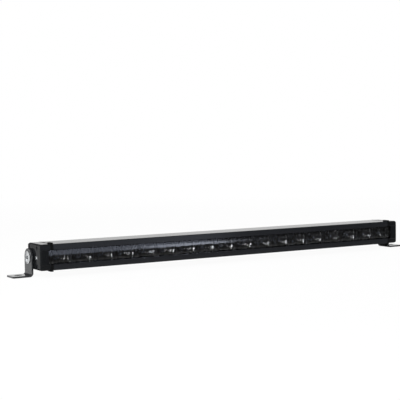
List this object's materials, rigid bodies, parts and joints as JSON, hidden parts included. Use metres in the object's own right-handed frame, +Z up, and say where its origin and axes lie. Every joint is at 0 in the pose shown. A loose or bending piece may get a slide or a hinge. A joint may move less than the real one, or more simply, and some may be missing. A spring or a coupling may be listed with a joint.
{
  "type": "led light bar",
  "caption": "Slim single-row LED light bar with a clear front lens over a row of reflector cups, cooling fins behind, end caps and two tilting L-shaped end brackets.",
  "frame": {"origin": "on the mounting plane under the feet, midway between the two foot slots", "axes": "+X along the bar to its right end as seen from behind, -Y the way the light leaves, +Z up"},
  "size_m": [0.565, 0.0527, 0.0388],
  "materials": {
    "black_anodised": "black anodised, satin",
    "black_cast": "black powder coat on a casting, satin",
    "clear_lens": "clear polycarbonate, gloss",
    "black_rubber": "silicone rubber, matte",
    "dark_metallised": "dark vacuum-metallised moulding, gloss",
    "black_board": "black solder mask on aluminium core",
    "led_ceramic": "white ceramic package",
    "phosphor": "yellow phosphor layer",
    "silicone_dome": "clear silicone dome",
    "thermal_rubber": "grey-blue gap pad, matte",
    "zinc_screw": "zinc plated",
    "green_board": "green solder mask",
    "ferrite": "ferrite with varnish",
    "capacitor": "moulded tantalum and ceramic bodies",
    "black_plastic": "black nylon, fine texture",
    "white_plastic": "white nylon",
    "gilt_pin": "gold flash on brass",
    "brass": "turned",
    "black_screw": "black oxide steel",
    "stainless": "polished stainless steel",
    "bracket_steel": "dark grey semi-gloss coat on steel strap"
  },
  "bodies": {
    "light_bar": {"housing": "black_anodised", "lens": "clear_lens", "lens_gasket": "black_rubber", "reflector_strip": "dark_metallised", "led_board": "black_board", "led_packages": "led_ceramic", "led_phosphors": "phosphor", "led_domes": "silicone_dome", "thermal_pad": "thermal_rubber", "board_screws": "zinc_screw", "driver_board": "green_board", "driver_pad": "thermal_rubber", "driver_screws": "zinc_screw", "driver_inductors": "ferrite", "driver_capacitors": "capacitor", "driver_chips": "black_plastic", "supply_terminal": "white_plastic", "link_pins": "gilt_pin", "link_sleeve": "black_plastic", "gland_body": "black_plastic", "gland_o_ring": "black_rubber", "gland_locknut": "brass", "gland_seal": "black_rubber", "gland_nut": "black_plastic", "breather_vent": "black_plastic", "vent_o_ring": "black_rubber", "left_end_cap": "black_cast", "right_end_cap": "black_cast", "left_cap_gasket": "black_rubber", "right_cap_gasket": "black_rubber", "left_cap_screws": "black_screw", "right_cap_screws": "black_screw", "left_pivot_insert": "brass", "right_pivot_insert": "brass", "left_pivot_bolt": "stainless", "right_pivot_bolt": "stainless", "left_spacer": "black_plastic", "right_spacer": "black_plastic", "test_plug": "stainless"},
    "left_bracket": {"left_bracket": "bracket_steel"},
    "right_bracket": {"right_bracket": "bracket_steel"}
  },
  "joints": [
    {"name": "left_bracket_tilt", "type": "hinge", "parent": "light_bar", "child": "left_bracket", "pos_m": [-0.2595, 0, 0.0213], "axis": [1, 0, 0], "continuous": true},
    {"name": "right_bracket_tilt", "type": "hinge", "parent": "light_bar", "child": "right_bracket", "pos_m": [0.2595, 0, 0.0213], "axis": [1, 0, 0], "continuous": true}
  ]
}
